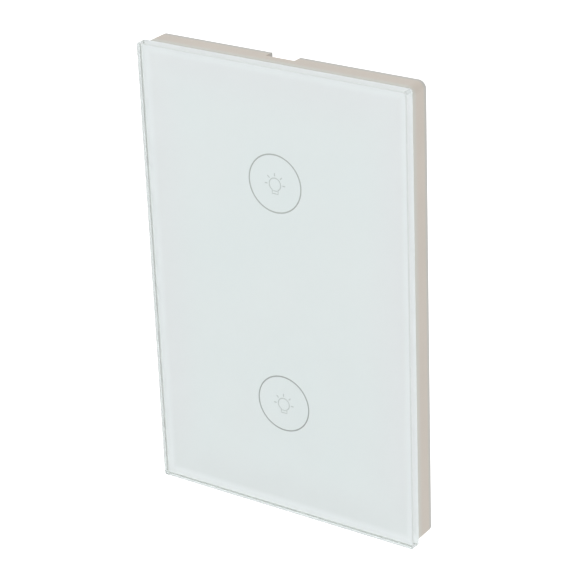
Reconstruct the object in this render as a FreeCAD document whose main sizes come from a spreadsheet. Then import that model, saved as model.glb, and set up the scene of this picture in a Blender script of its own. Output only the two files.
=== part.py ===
"""Smart touch wall switch: a clip-on glass front panel over a base that is screwed to the wall.

The row frame has its origin on the wall plane, midway between the two wall screws. The front
looks along -Y, the rear box goes into the wall along +Y and +Z is up. In the comments, a
piece's "reach" is its distance in front of the wall plane, so Y is minus the reach.
"""
import FreeCAD, Part
import os
from types import SimpleNamespace

import Sketcher

# Driving dimensions in millimetres
SIZES = {
    # Glass panel
    "glass_width": 76.8,
    "glass_height": 120.0,
    "glass_thick": 3.0,
    "glass_corner": 0.7,
    "glass_arris": 0.2,
    "front_reach": 10.0,
    # Front frame behind the glass
    "bond_thick": 0.3,
    "bond_margin": 1.6,
    "bond_band": 5.0,
    "frame_inset_side": 0.4,
    "frame_inset_end": 0.15,
    "frame_corner": 2.0,
    "frame_edge_bevel": 0.2,
    "skirt_wall": 1.8,
    "face_wall": 1.5,
    "wall_gap": 0.3,
    "notch_width": 8.2,
    "notch_depth": 3.1,
    "notch_shift": 0.7,
    "touch_spacing": 60.0,
    "touch_window": 17.0,
    "chip_window_wide": 22.0,
    "chip_window_tall": 31.0,
    "window_corner": 2.0,
    "rib_thick": 1.2,
    "rib_tall": 0.7,
    # Snap arms of the frame and their slots in the base
    "snap_inset": 4.4,
    "snap_height": 38.0,
    "snap_wide": 7.0,
    "snap_thick": 1.2,
    "snap_barb": 0.8,
    "snap_gap": 0.12,
    "snap_room": 0.6,
    "catch_lip": 0.9,
    "catch_deep": 0.8,
    # Flange plate of the base
    "flange_gap": 0.4,
    "flange_thick": 2.0,
    "flange_corner": 1.2,
    "flange_rim": 1.0,
    "flange_rim_tall": 1.0,
    "wall_screw_spacing": 83.3,
    "wall_screw_hole": 4.3,
    "screw_pad": 10.5,
    "screw_pad_tall": 0.6,
    # Rear box of the base
    "box_width": 48.0,
    "box_height": 66.0,
    "box_depth": 22.0,
    "box_wall": 1.8,
    "box_corner": 3.0,
    "box_edge_bevel": 1.2,
    "post_across": 18.6,
    "post_upper": 28.0,
    "post_lower": 13.0,
    "post_foot": 7.6,
    "post_neck": 3.6,
    "post_gap": 0.2,
    "cover_screw": 1.7,
    "cover_screw_head": 3.8,
    "cover_screw_head_tall": 1.2,
    "cover_screw_long": 8.0,
    "cover_screw_gap": 0.05,
    # Inner cover
    "cover_gap": 0.2,
    "cover_thick": 1.4,
    "sleeve_wall": 1.2,
    "hook_thick": 1.1,
    "hook_wide": 5.0,
    "hook_lip": 0.5,
    "hook_tall": 0.7,
    "hook_height": 13.0,
    "hook_gap": 0.1,
    # Touch board
    "touch_board_wide": 30.0,
    "touch_board_tall": 72.0,
    "touch_board_thick": 1.0,
    "board_corner": 1.0,
    "spring_width": 10.4,
    "spring_wire": 0.6,
    "spring_turns": 1.5,
    "spring_gap": 0.1,
    "led_wide": 3.5,
    "led_tall": 2.8,
    "led_thick": 1.4,
    "chip_wide": 9.9,
    "chip_tall": 3.9,
    "chip_thick": 1.1,
    "chip_height": 19.4,
    "chip_lead_long": 1.0,
    "chip_lead_wide": 0.42,
    "chip_lead_pitch": 1.27,
    "chip_leads": 8,
    "radio_wide": 16.0,
    "radio_tall": 24.0,
    "radio_thick": 0.8,
    "shield_wide": 12.4,
    "shield_tall": 15.4,
    "shield_thick": 2.0,
    "shield_edge": 0.35,
    # Board-to-board header
    "header_pins": 6,
    "header_pitch": 2.54,
    "header_height": -18.0,
    "header_body": 2.5,
    "header_pin": 0.64,
    "socket_tall": 2.4,
    "socket_hole": 0.9,
    "header_gap": 0.2,
    "header_slot_gap": 0.4,
    # Power board
    "power_board_depth": 3.0,
    "power_board_thick": 1.6,
    "power_board_gap": 0.3,
    "power_board_foot": -18.2,
    # Components on the power board
    "relay_wide": 10.2,
    "relay_tall": 18.4,
    "relay_deep": 15.0,
    "relay_across": 7.5,
    "relay_foot": -16.4,
    "relay_step": 0.3,
    "relay_base": 0.8,
    "case_bevel": 0.6,
    "transformer_x": -13.2,
    "transformer_z": 10.0,
    "bobbin_wide": 14.0,
    "bobbin_tall": 12.4,
    "bobbin_foot": 1.8,
    "core_wide": 13.0,
    "core_tall": 6.2,
    "core_deep": 12.6,
    "winding_width": 11.0,
    "winding_margin": 1.6,
    "bulk_x": 0.0,
    "bulk_z": 9.6,
    "bulk_width": 8.0,
    "bulk_deep": 14.0,
    "output_x": -8.6,
    "output_z": 22.6,
    "output_width": 6.3,
    "output_deep": 11.0,
    "line_x": 13.2,
    "line_z": 6.6,
    "line_wide": 13.0,
    "line_tall": 5.5,
    "line_deep": 11.0,
    "varistor_x": 13.2,
    "varistor_z": 13.7,
    "varistor_width": 9.6,
    "varistor_thick": 3.6,
    "varistor_leg": 1.2,
    "fuse_x": 12.0,
    "fuse_z": 21.0,
    "fuse_width": 8.4,
    "fuse_deep": 7.8,
    "choke_x": 2.0,
    "choke_z": 20.6,
    "choke_width": 8.0,
    "choke_waist": 6.4,
    "choke_rim": 1.2,
    "choke_deep": 9.5,
    "rectifier_x": 2.0,
    "rectifier_z": 27.8,
    "rectifier_wide": 4.8,
    "rectifier_tall": 3.9,
    "rectifier_thick": 2.2,
    "rectifier_lead": 0.7,
    "rectifier_pitch": 2.6,
    # Terminals
    "terminal_count": 4,
    "terminal_pitch": 11.0,
    "terminal_height": -25.5,
    "block_top": -18.5,
    "block_gap": 0.2,
    "block_front": 3.6,
    "pocket_wide": 8.4,
    "pocket_front": 5.4,
    "pocket_deep": 11.6,
    "pocket_top": -19.9,
    "clamp_screw": 4.0,
    "clamp_screw_way": 4.3,
    "clamp_screw_head": 6.2,
    "clamp_screw_head_tall": 1.6,
    "clamp_head_way": 6.9,
    "clamp_head_gap": 0.2,
    "clamp_slot_wide": 1.0,
    "clamp_slot_deep": 0.9,
    "clamp_tip_gap": 0.05,
    "driver_window": 5.2,
    "cage_gap": 0.2,
    "cage_wide": 7.6,
    "cage_long": 6.4,
    "cage_side": 1.0,
    "cage_floor": 1.2,
    "cage_head": 1.6,
    "cage_bevel": 0.4,
    "cage_bore_gap": 0.05,
    "wire_space": 4.6,
    "bar_wide": 4.4,
    "bar_thick": 1.0,
    "bar_lift": 0.3,
    "bar_end": -29.2,
    "bar_leg": -18.0,
    "bar_leg_thick": 0.8,
    "bar_gap": 0.2,
    "wire_port": 6.0,
}


class Size:
    """A length that carries both its number and the sheet expression that gives it."""

    def __init__(self, text, number):
        self.text = text
        self.number = number

    @staticmethod
    def of(other):
        if isinstance(other, Size):
            return other
        return Size(repr(other), float(other))

    def __add__(self, other):
        other = Size.of(other)
        return Size(f"({self.text} + {other.text})", self.number + other.number)

    def __sub__(self, other):
        other = Size.of(other)
        return Size(f"({self.text} - {other.text})", self.number - other.number)

    def __mul__(self, other):
        other = Size.of(other)
        return Size(f"({self.text} * {other.text})", self.number * other.number)

    def __truediv__(self, other):
        other = Size.of(other)
        return Size(f"({self.text} / {other.text})", self.number / other.number)

    def __neg__(self):
        return Size(f"(-1 * {self.text})", -self.number)

    def __radd__(self, other):
        return Size.of(other) + self

    def __rsub__(self, other):
        return Size.of(other) - self

    def __rmul__(self, other):
        return Size.of(other) * self


doc = FreeCAD.newDocument("touch_switch")
sheet = doc.addObject("Spreadsheet::Sheet", "Sizes")
for line, (alias, number) in enumerate(SIZES.items(), start=1):
    sheet.set(f"A{line}", alias)
    sheet.set(f"B{line}", str(number))
    sheet.setAlias(f"B{line}", alias)
doc.recompute()
s = SimpleNamespace(**{alias: Size(f"Sizes.{alias}", float(number)) for alias, number in SIZES.items()})

SUBPARTS = []


def bind(thing, prop, size):
    """Tie a property of a document object to the sheet."""
    thing.setExpression(prop, Size.of(size).text)


def new_body(label):
    """Start a sub-part as a PartDesign body."""
    body = doc.addObject("PartDesign::Body", label)
    body.Label = label
    SUBPARTS.append(body)
    return body


def origin_feature(body, role):
    """The body's own origin plane or axis with this role."""
    return next(feature for feature in body.Origin.OriginFeatures if feature.Role == role)


def new_sketch(body, role, offset=0):
    """A sketch on one of the body's origin planes, moved along that plane's normal."""
    sketch = body.newObject("Sketcher::SketchObject", body.Label + "_sketch")
    sketch.AttachmentSupport = [(origin_feature(body, role), "")]
    sketch.MapMode = "FlatFace"
    bind(sketch, "AttachmentOffset.Base.z", offset)
    return sketch


def front_sketch(body, reach):
    """A sketch seen from the front, X across and Z up, at this reach from the wall."""
    return new_sketch(body, "XZ_Plane", reach)


def hold(sketch, item, end, across, size):
    """Hold one point of a sketch item at a distance from the sketch's origin."""
    size = Size.of(size)
    if abs(size.number) < 1e-7:
        axis = -2 if across == "X" else -1
        sketch.addConstraint(Sketcher.Constraint("PointOnObject", item, end, axis))
        return
    ends = (-1, 1, item, end) if size.number > 0 else (item, end, -1, 1)
    size = size if size.number > 0 else -size
    index = sketch.addConstraint(Sketcher.Constraint("Distance" + across, *ends, size.number))
    sketch.setExpression(f"Constraints[{index}]", size.text)


def outline(sketch, corners):
    """A closed outline of straight lines through corners held by the sheet."""
    corners = [(Size.of(x), Size.of(y)) for x, y in corners]
    first = sketch.GeometryCount
    points = [FreeCAD.Vector(x.number, y.number, 0) for x, y in corners]
    for here, there in zip(points, points[1:] + points[:1]):
        sketch.addGeometry(Part.LineSegment(here, there))
    count = len(points)
    for k in range(count):
        following = first + (k + 1) % count
        sketch.addConstraint(Sketcher.Constraint("Coincident", first + k, 2, following, 1))
    for k, (x, y) in enumerate(corners):
        hold(sketch, first + k, 1, "X", x)
        hold(sketch, first + k, 1, "Y", y)


def rectangle(sketch, left, right, low, high):
    """A rectangle between four sheet-driven sides."""
    outline(sketch, [(left, low), (right, low), (right, high), (left, high)])


def centred(sketch, width, height):
    """A rectangle centred on the sketch's origin."""
    width, height = Size.of(width), Size.of(height)
    rectangle(sketch, -width / 2, width / 2, -height / 2, height / 2)


def circle(sketch, x, y, diameter):
    """A circle held by its centre and diameter."""
    x, y, diameter = Size.of(x), Size.of(y), Size.of(diameter)
    middle = FreeCAD.Vector(x.number, y.number, 0)
    normal = FreeCAD.Vector(0, 0, 1)
    item = sketch.addGeometry(Part.Circle(middle, normal, diameter.number / 2))
    hold(sketch, item, 3, "X", x)
    hold(sketch, item, 3, "Y", y)
    index = sketch.addConstraint(Sketcher.Constraint("Diameter", item, diameter.number))
    sketch.setExpression(f"Constraints[{index}]", diameter.text)


def raise_pad(body, sketch, length, both_ways=False):
    """Pad a sketch along its normal: a front sketch grows towards the viewer."""
    pad = body.newObject("PartDesign::Pad", body.Label + "_pad")
    pad.Profile = sketch
    bind(pad, "Length", length)
    if both_ways:
        pad.Midplane = True
    doc.recompute()
    return pad


def cut_pocket(body, sketch, depth, both_ways=False):
    """Cut a sketch against its normal: a front sketch cuts towards the wall."""
    before = body.Shape.Volume
    pocket = body.newObject("PartDesign::Pocket", body.Label + "_pocket")
    pocket.Profile = sketch
    bind(pocket, "Length", depth)
    if both_ways:
        pocket.Midplane = True
    doc.recompute()
    if not body.Shape.Volume < before - 1e-6:
        raise RuntimeError(body.Label + ": a pocket cuts nothing")
    return pocket


def mirror(body, features, role):
    """Repeat features on the other side of an origin plane."""
    copy = body.newObject("PartDesign::Mirrored", body.Label + "_mirror")
    copy.Originals = features
    copy.MirrorPlane = (origin_feature(body, role), [""])
    body.Tip = copy
    doc.recompute()
    return copy


def row(body, features, role, pitch, count):
    """Repeat features along an origin axis at a fixed pitch."""
    pattern = body.newObject("PartDesign::LinearPattern", body.Label + "_row")
    pattern.Originals = features
    pattern.Direction = (origin_feature(body, role), [""])
    bind(pattern, "Length", pitch * (count - 1))
    bind(pattern, "Occurrences", count)
    body.Tip = pattern
    doc.recompute()
    return pattern


def edges_where(feature, wanted):
    """Names of the feature's edges that pass a test."""
    return [f"Edge{i}" for i, edge in enumerate(feature.Shape.Edges, start=1) if wanted(edge)]


def runs_along(edge, axis):
    """True where an edge is a straight line parallel to X, Y or Z."""
    if not isinstance(edge.Curve, Part.Line):
        return False
    return abs(abs(edge.Curve.Direction["XYZ".index(axis)]) - 1) < 1e-6


def near(number, size):
    """True where a coordinate equals a sheet size."""
    return abs(number - Size.of(size).number) < 1e-4


def dress(body, kind, base, wanted, size):
    """Fillet or chamfer the edges of a feature that pass a test."""
    names = edges_where(base, wanted)
    if not names:
        raise RuntimeError(body.Label + ": no edge to dress")
    feature = body.newObject("PartDesign::" + kind, body.Label + "_" + kind.lower())
    feature.Base = (base, names)
    bind(feature, "Radius" if kind == "Fillet" else "Size", size)
    body.Tip = feature
    doc.recompute()
    return feature


def corner_at(width, height):
    """A test for the depth-wise edges at the corners of a centred rectangle."""
    def wanted(edge):
        if not runs_along(edge, "Y"):
            return False
        point = edge.CenterOfMass
        return near(abs(point.x), width / 2) and near(abs(point.z), height / 2)
    return wanted


def lies_at_reach(edge, reach):
    """True where an edge lies wholly at one reach from the wall."""
    box = edge.BoundBox
    return near(-box.YMin, reach) and near(-box.YMax, reach)


def square_at(sketch, x, z, side):
    """A square around a point of a front sketch."""
    half = side / 2
    rectangle(sketch, x - half, x + half, z - half, z + half)


def row_start(pitch, count):
    """Where the first of a centred row of pieces stands."""
    return -(pitch * (count - 1) / 2)


def slab(label, left, right, low, high, back, front):
    """A box-like sub-part between sheet-driven sides."""
    body = new_body(label)
    sketch = front_sketch(body, back)
    rectangle(sketch, left, right, low, high)
    raise_pad(body, sketch, Size.of(front) - back)


# Front panel

glass_back = s.front_reach - s.glass_thick
face_front = glass_back - s.bond_thick
face_back = face_front - s.face_wall
frame_width = s.glass_width - 2 * s.frame_inset_side
frame_height = s.glass_height - 2 * s.frame_inset_end
touch_height = s.touch_spacing / 2
flange_width = frame_width - 2 * s.skirt_wall - 2 * s.flange_gap
flange_height = frame_height - 2 * s.skirt_wall - 2 * s.flange_gap
snap_inner = flange_width / 2 - s.snap_inset
snap_outer = snap_inner + s.snap_thick


def make_glass_panel():
    """Tempered slab with rounded corners and a ground arris all round."""
    body = new_body("glass_panel")
    sketch = front_sketch(body, glass_back)
    centred(sketch, s.glass_width, s.glass_height)
    pad = raise_pad(body, sketch, s.glass_thick)
    rounded = dress(body, "Fillet", pad, corner_at(s.glass_width, s.glass_height), s.glass_corner)

    def rim(edge):
        return lies_at_reach(edge, s.front_reach) or lies_at_reach(edge, glass_back)

    dress(body, "Chamfer", rounded, rim, s.glass_arris)


def make_bonding_gasket():
    """Adhesive band between the glass and the frame's face."""
    body = new_body("bonding_gasket")
    width = frame_width - 2 * s.bond_margin
    height = frame_height - 2 * s.bond_margin
    sketch = front_sketch(body, face_front)
    centred(sketch, width, height)
    centred(sketch, width - 2 * s.bond_band, height - 2 * s.bond_band)
    raise_pad(body, sketch, s.bond_thick)


def make_front_frame():
    """Moulded frame: skirt, face wall with windows, ribs, snap arms and a pry notch."""
    body = new_body("front_frame")
    sketch = front_sketch(body, s.wall_gap)
    centred(sketch, frame_width, frame_height)
    shell = raise_pad(body, sketch, face_front - s.wall_gap)
    rounded = dress(body, "Fillet", shell, corner_at(frame_width, frame_height), s.frame_corner)
    dress(body, "Chamfer", rounded, lambda edge: lies_at_reach(edge, s.wall_gap), s.frame_edge_bevel)

    inner_width = frame_width - 2 * s.skirt_wall
    inner_height = frame_height - 2 * s.skirt_wall
    hollow = front_sketch(body, face_back)
    centred(hollow, inner_width, inner_height)
    pocket = cut_pocket(body, hollow, face_back)
    dress(body, "Fillet", pocket, corner_at(inner_width, inner_height), s.frame_corner - s.skirt_wall)

    cross_rib = front_sketch(body, face_back - s.rib_tall)
    rib_low = s.chip_window_tall / 2
    rectangle(cross_rib, -inner_width / 2, inner_width / 2, rib_low, rib_low + s.rib_thick)
    rib = raise_pad(body, cross_rib, s.rib_tall)
    mirror(body, [rib], "XY_Plane")

    window_rib = front_sketch(body, face_back - s.rib_tall)
    square_at(window_rib, Size.of(0), touch_height, s.touch_window + 2 * s.rib_thick)
    frame_rib = raise_pad(body, window_rib, s.rib_tall)
    mirror(body, [frame_rib], "XY_Plane")

    touch_hole = front_sketch(body, face_front)
    circle(touch_hole, 0, touch_height, s.touch_window)
    window = cut_pocket(body, touch_hole, s.face_wall + s.rib_tall)
    mirror(body, [window], "XY_Plane")

    chip_hole = front_sketch(body, face_front)
    centred(chip_hole, s.chip_window_wide, s.chip_window_tall)
    opening = cut_pocket(body, chip_hole, s.face_wall)
    dress(body, "Fillet", opening, corner_at(s.chip_window_wide, s.chip_window_tall), s.window_corner)

    add_snap_arms(body)

    notch = front_sketch(body, s.notch_depth)
    half_notch = s.notch_width / 2
    rectangle(notch, -s.notch_shift - half_notch, -s.notch_shift + half_notch,
              inner_height / 2 - s.skirt_wall, frame_height / 2 + s.skirt_wall)
    cut_pocket(body, notch, s.notch_depth)


def add_snap_arms(body):
    """Four arms that reach back through the base's slots, with a barb on the outer side."""
    root = -face_back
    shoulder = -(s.flange_thick - s.catch_deep - s.snap_gap)
    tip = shoulder + s.snap_barb
    for height in (s.snap_height, -s.snap_height):
        profile = new_sketch(body, "XY_Plane", height)
        outline(profile, [
            (snap_inner, root),
            (snap_outer, root),
            (snap_outer, shoulder),
            (snap_outer + s.snap_barb, shoulder),
            (snap_outer, tip),
            (snap_inner, tip),
        ])
        arm = raise_pad(body, profile, s.snap_wide, both_ways=True)
        mirror(body, [arm], "YZ_Plane")


# Base housing

mouth_width = s.box_width - 2 * s.box_wall
mouth_height = s.box_height - 2 * s.box_wall
box_floor = s.box_depth - s.box_wall
cover_back = s.flange_thick - s.cover_thick
board_rear = s.power_board_depth + s.power_board_thick
first_terminal = row_start(s.terminal_pitch, s.terminal_count)
head_floor = box_floor - s.clamp_head_gap - s.clamp_screw_head_tall
pocket_rear = s.pocket_front + s.pocket_deep
cage_front = s.pocket_front + s.cage_gap
wire_low = cage_front + s.cage_floor
wire_high = wire_low + s.wire_space
bar_rear = wire_high + s.bar_thick
wire_middle = (wire_low + wire_high) / 2


def post_places():
    """Centres of the two posts that carry the power board and the inner cover."""
    yield -s.post_across, s.post_upper
    yield s.post_across, -s.post_lower


def make_base_housing():
    """Flange plate and rear box moulded in one."""
    body = new_body("base_housing")
    plate_sketch = front_sketch(body, 0)
    centred(plate_sketch, flange_width, flange_height)
    plate = raise_pad(body, plate_sketch, s.flange_thick)
    dress(body, "Fillet", plate, corner_at(flange_width, flange_height), s.flange_corner)

    rim = front_sketch(body, s.flange_thick)
    centred(rim, flange_width - 2 * s.flange_corner, flange_height - 2 * s.flange_corner)
    inside = 2 * s.flange_corner + 2 * s.flange_rim
    centred(rim, flange_width - inside, flange_height - inside)
    raise_pad(body, rim, s.flange_rim_tall)

    pads = front_sketch(body, s.flange_thick)
    circle(pads, 0, s.wall_screw_spacing / 2, s.screw_pad)
    pad = raise_pad(body, pads, s.screw_pad_tall)
    mirror(body, [pad], "XY_Plane")

    box_sketch = front_sketch(body, -s.box_depth)
    centred(box_sketch, s.box_width, s.box_height)
    box = raise_pad(body, box_sketch, s.box_depth)
    rounded = dress(body, "Fillet", box, corner_at(s.box_width, s.box_height), s.box_corner)
    dress(body, "Chamfer", rounded, lambda edge: lies_at_reach(edge, -s.box_depth), s.box_edge_bevel)

    mouth = front_sketch(body, s.flange_thick)
    centred(mouth, mouth_width, mouth_height)
    hollow = cut_pocket(body, mouth, s.flange_thick + box_floor)
    dress(body, "Fillet", hollow, corner_at(mouth_width, mouth_height), s.box_corner - s.box_wall)

    feet = front_sketch(body, -box_floor)
    for x, z in post_places():
        circle(feet, x, z, s.post_foot)
    raise_pad(body, feet, box_floor - board_rear)
    necks = front_sketch(body, -board_rear)
    for x, z in post_places():
        circle(necks, x, z, s.post_neck)
    raise_pad(body, necks, board_rear + cover_back)
    pilots = front_sketch(body, cover_back)
    for x, z in post_places():
        circle(pilots, x, z, s.cover_screw + 2 * s.cover_screw_gap)
    cut_pocket(body, pilots, s.cover_screw_long)

    screw_hole = front_sketch(body, s.flange_thick + s.screw_pad_tall)
    circle(screw_hole, 0, s.wall_screw_spacing / 2, s.wall_screw_hole)
    hole = cut_pocket(body, screw_hole, s.flange_thick + s.screw_pad_tall)
    mirror(body, [hole], "XY_Plane")

    cut_snap_slots(body)

    driver = front_sketch(body, -box_floor)
    square_at(driver, first_terminal, s.terminal_height, s.driver_window)
    driver_window = cut_pocket(body, driver, s.box_wall)
    row(body, [driver_window], "X_Axis", s.terminal_pitch, s.terminal_count)

    port = new_sketch(body, "XY_Plane", -mouth_height / 2)
    square_at(port, first_terminal, wire_middle, s.wire_port)
    port_hole = cut_pocket(body, port, s.box_wall)
    row(body, [port_hole], "X_Axis", s.terminal_pitch, s.terminal_count)


def cut_snap_slots(body):
    """Slots for the snap arms, with a wider pocket behind each catch lip."""
    slot_in = snap_inner - s.snap_room
    slot_out = snap_outer + s.snap_barb + s.snap_gap
    half = s.snap_wide / 2 + s.snap_room
    for height in (s.snap_height, -s.snap_height):
        through = front_sketch(body, s.flange_thick)
        rectangle(through, slot_in, slot_out, height - half, height + half)
        slot = cut_pocket(body, through, s.flange_thick)
        behind = front_sketch(body, s.flange_thick - s.catch_deep)
        rectangle(behind, slot_in, slot_out + s.catch_lip, height - half, height + half)
        catch = cut_pocket(body, behind, s.flange_thick - s.catch_deep)
        mirror(body, [slot, catch], "YZ_Plane")


# Inner cover and its screws

header_half = s.header_pitch * s.header_pins / 2


def make_inner_cover():
    """Plate that closes the box, with sleeves over the posts and hooks for the touch board."""
    body = new_body("inner_cover")
    plate_sketch = front_sketch(body, cover_back)
    width = mouth_width - 2 * s.cover_gap
    height = mouth_height - 2 * s.cover_gap
    centred(plate_sketch, width, height)
    plate = raise_pad(body, plate_sketch, s.cover_thick)
    dress(body, "Fillet", plate, corner_at(width, height), s.box_corner - s.box_wall)

    bore = s.post_neck + 2 * s.post_gap
    sleeves = front_sketch(body, -s.power_board_depth)
    for x, z in post_places():
        circle(sleeves, x, z, bore + 2 * s.sleeve_wall)
    raise_pad(body, sleeves, s.power_board_depth + cover_back)
    bores = front_sketch(body, cover_back)
    for x, z in post_places():
        circle(bores, x, z, bore)
    cut_pocket(body, bores, s.power_board_depth + cover_back)
    holes = front_sketch(body, s.flange_thick)
    for x, z in post_places():
        circle(holes, x, z, s.cover_screw + 2 * s.post_gap)
    cut_pocket(body, holes, s.cover_thick)

    slot = front_sketch(body, s.flange_thick)
    slot_half = s.header_body / 2 + s.header_slot_gap
    rectangle(slot, -header_half - s.header_slot_gap, header_half + s.header_slot_gap,
              s.header_height - slot_half, s.header_height + slot_half)
    cut_pocket(body, slot, s.cover_thick)

    foot = -s.flange_thick
    under = foot - s.touch_board_thick - s.hook_gap
    inner = s.touch_board_wide / 2 + s.hook_gap
    for height in (s.hook_height, -s.hook_height):
        profile = new_sketch(body, "XY_Plane", height)
        outline(profile, [
            (inner, foot),
            (inner + s.hook_thick, foot),
            (inner + s.hook_thick, under),
            (inner, under - s.hook_tall),
            (inner - s.hook_lip, under),
            (inner, under),
        ])
        hook = raise_pad(body, profile, s.hook_wide, both_ways=True)
        mirror(body, [hook], "YZ_Plane")


def make_cover_screws():
    """The two small screws of the inner cover, one solid each."""
    screws = []
    for x, z in post_places():
        head = doc.addObject("Part::Cylinder", "cover_screw_head")
        shank = doc.addObject("Part::Cylinder", "cover_screw_shank")
        bind(head, "Radius", s.cover_screw_head / 2)
        bind(head, "Height", s.cover_screw_head_tall)
        bind(shank, "Radius", s.cover_screw / 2)
        bind(shank, "Height", s.cover_screw_long)
        for item, y in ((head, -s.flange_thick - s.cover_screw_head_tall), (shank, -s.flange_thick)):
            item.Placement.Rotation = FreeCAD.Rotation(FreeCAD.Vector(1, 0, 0), -90)
            bind(item, "Placement.Base.x", x)
            bind(item, "Placement.Base.y", y)
            bind(item, "Placement.Base.z", z)
        screw = doc.addObject("Part::Fuse", "cover_screw")
        screw.Base = head
        screw.Tool = shank
        screws.append(screw)
    group = doc.addObject("Part::Compound", "cover_screws")
    group.Label = "cover_screws"
    group.Links = screws
    SUBPARTS.append(group)


# Touch board and what it carries

touch_front = s.flange_thick + s.touch_board_thick


def make_touch_board():
    """Thin board behind the glass that reads the two touch springs."""
    body = new_body("touch_board")
    sketch = front_sketch(body, s.flange_thick)
    centred(sketch, s.touch_board_wide, s.touch_board_tall)
    pad = raise_pad(body, sketch, s.touch_board_thick)
    dress(body, "Chamfer", pad, corner_at(s.touch_board_wide, s.touch_board_tall), s.board_corner)


def make_touch_spring(label, height):
    """Coil spring that stands on the board and reaches the back of the glass, in square wire."""
    body = new_body(label)
    profile = new_sketch(body, "XY_Plane", height)
    outer = s.spring_width / 2
    front = -(glass_back - s.spring_gap)
    rectangle(profile, outer - s.spring_wire, outer, front, front + s.spring_wire)
    coil = body.newObject("PartDesign::AdditiveHelix", label + "_coil")
    coil.Profile = profile
    coil.ReferenceAxis = (profile, ["V_Axis"])
    coil.Mode = "height-turns-angle"
    bind(coil, "Height", glass_back - s.spring_gap - s.spring_wire - touch_front)
    bind(coil, "Turns", s.spring_turns)
    doc.recompute()


def make_led(label, height):
    """Indicator lamp in the middle of a touch spring."""
    slab(label, -s.led_wide / 2, s.led_wide / 2, height - s.led_tall / 2, height + s.led_tall / 2,
         touch_front, touch_front + s.led_thick)


def make_touch_chip():
    """Touch controller with its two rows of leads."""
    body = new_body("touch_chip")
    sketch = front_sketch(body, touch_front + s.chip_lead_wide / 2)
    half = s.chip_tall / 2
    rectangle(sketch, -s.chip_wide / 2, s.chip_wide / 2, s.chip_height - half, s.chip_height + half)
    pad = raise_pad(body, sketch, s.chip_thick)
    dress(body, "Chamfer", pad,
          lambda edge: lies_at_reach(edge, touch_front + s.chip_lead_wide / 2 + s.chip_thick),
          s.chip_thick / 5)
    leads = front_sketch(body, touch_front)
    start = row_start(s.chip_lead_pitch, s.chip_leads)
    half_lead = s.chip_lead_wide / 2
    reach = half + s.chip_lead_long
    rectangle(leads, start - half_lead, start + half_lead, s.chip_height - reach, s.chip_height + reach)
    lead = raise_pad(body, leads, s.chip_lead_wide)
    row(body, [lead], "X_Axis", s.chip_lead_pitch, s.chip_leads)


def make_radio_module():
    """Radio module: a small board with a printed aerial and a shield can."""
    half = s.radio_tall / 2
    slab("radio_module", -s.radio_wide / 2, s.radio_wide / 2, -half, half,
         touch_front, touch_front + s.radio_thick)
    body = new_body("radio_shield")
    back = touch_front + s.radio_thick
    sketch = front_sketch(body, back)
    low = -half + s.board_corner
    rectangle(sketch, -s.shield_wide / 2, s.shield_wide / 2, low, low + s.shield_tall)
    pad = raise_pad(body, sketch, s.shield_thick)
    dress(body, "Chamfer", pad, lambda edge: not lies_at_reach(edge, back), s.shield_edge)


def make_header():
    """Socket behind the touch board and pin strip on the power board."""
    socket_back = s.flange_thick - s.socket_tall
    half = s.header_body / 2
    pin_start = row_start(s.header_pitch, s.header_pins)
    low, high = s.header_height - half, s.header_height + half

    socket = new_body("header_socket")
    sketch = front_sketch(socket, socket_back)
    rectangle(sketch, -header_half, header_half, low, high)
    raise_pad(socket, sketch, s.socket_tall)
    hole_sketch = front_sketch(socket, s.flange_thick - s.header_gap)
    square_at(hole_sketch, pin_start, s.header_height, s.socket_hole)
    hole = cut_pocket(socket, hole_sketch, s.socket_tall - s.header_gap)
    row(socket, [hole], "X_Axis", s.header_pitch, s.header_pins)

    strip = new_body("pin_header")
    base = front_sketch(strip, -s.power_board_depth)
    rectangle(base, -header_half, header_half, low, high)
    raise_pad(strip, base, s.power_board_depth + socket_back - s.header_gap)
    pin_sketch = front_sketch(strip, -s.power_board_depth)
    square_at(pin_sketch, pin_start, s.header_height, s.header_pin)
    pin = raise_pad(strip, pin_sketch, s.power_board_depth + s.flange_thick - 2 * s.header_gap)
    row(strip, [pin], "X_Axis", s.header_pitch, s.header_pins)


# Power board and what it carries

def make_power_board():
    """Board clamped between the posts' shoulders and the cover's sleeves."""
    body = new_body("power_board")
    sketch = front_sketch(body, -board_rear)
    half = mouth_width / 2 - s.power_board_gap
    top = mouth_height / 2 - s.power_board_gap
    rectangle(sketch, -half, half, s.power_board_foot, top)
    board = raise_pad(body, sketch, s.power_board_thick)
    dress(body, "Fillet", board, lambda edge: runs_along(edge, "Y") and near(edge.CenterOfMass.z, top),
          s.box_corner - s.box_wall)
    holes = front_sketch(body, -s.power_board_depth)
    for x, z in post_places():
        circle(holes, x, z, s.post_neck + 2 * s.post_gap)
    cut_pocket(body, holes, s.power_board_thick)


def drum(body, x, z, width, start, deep):
    """One round step of a component, from a start above the power board's rear face."""
    sketch = front_sketch(body, -(board_rear + start + deep))
    circle(sketch, x, z, width)
    raise_pad(body, sketch, deep)


def make_relay(label, middle):
    """Sealed relay: a stepped foot under a case with eased edges."""
    body = new_body(label)
    half = s.relay_wide / 2
    high = s.relay_foot + s.relay_tall
    top = board_rear + s.relay_deep
    case = front_sketch(body, -top)
    rectangle(case, middle - half, middle + half, s.relay_foot, high)
    pad = raise_pad(body, case, s.relay_deep - s.relay_base)
    dress(body, "Chamfer", pad, lambda edge: not lies_at_reach(edge, -(board_rear + s.relay_base)),
          s.case_bevel)
    foot = front_sketch(body, -(board_rear + s.relay_base))
    rectangle(foot, middle - half + s.relay_step, middle + half - s.relay_step,
              s.relay_foot + s.relay_step, high - s.relay_step)
    raise_pad(body, foot, s.relay_base)


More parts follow.
